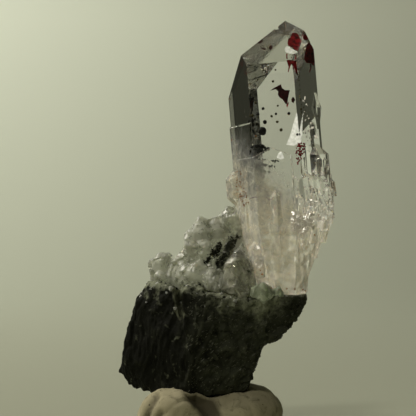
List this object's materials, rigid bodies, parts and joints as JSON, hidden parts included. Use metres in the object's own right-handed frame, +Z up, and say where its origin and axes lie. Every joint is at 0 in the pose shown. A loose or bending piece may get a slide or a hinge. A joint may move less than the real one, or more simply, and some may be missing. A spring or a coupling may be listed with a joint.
{
  "type": "amethyst on matrix",
  "caption": "Clear quartz point with faint amethyst colour, standing on dark rock with a crust of milky points, held upright in a lump of putty.",
  "frame": {"origin": "middle of the putty's flat underside", "axes": "+Z up, +X to the right and -Y towards the viewer of the specimen's front"},
  "size_m": [0.0381, 0.0228, 0.0732],
  "materials": {
    "putty": "matte, kneaded by hand",
    "matrix_rock": "rough, broken",
    "clear_quartz": "natural crystal faces",
    "milky_quartz": "natural crystal faces, cloudy",
    "green_quartz": "rounded, cloudy"
  },
  "bodies": {
    "root": {"putty": "putty", "matrix": "matrix_rock", "amethyst_crystal": "clear_quartz", "quartz_crust": "milky_quartz", "front_point": "milky_quartz", "green_point": "green_quartz"}
  },
  "joints": []
}
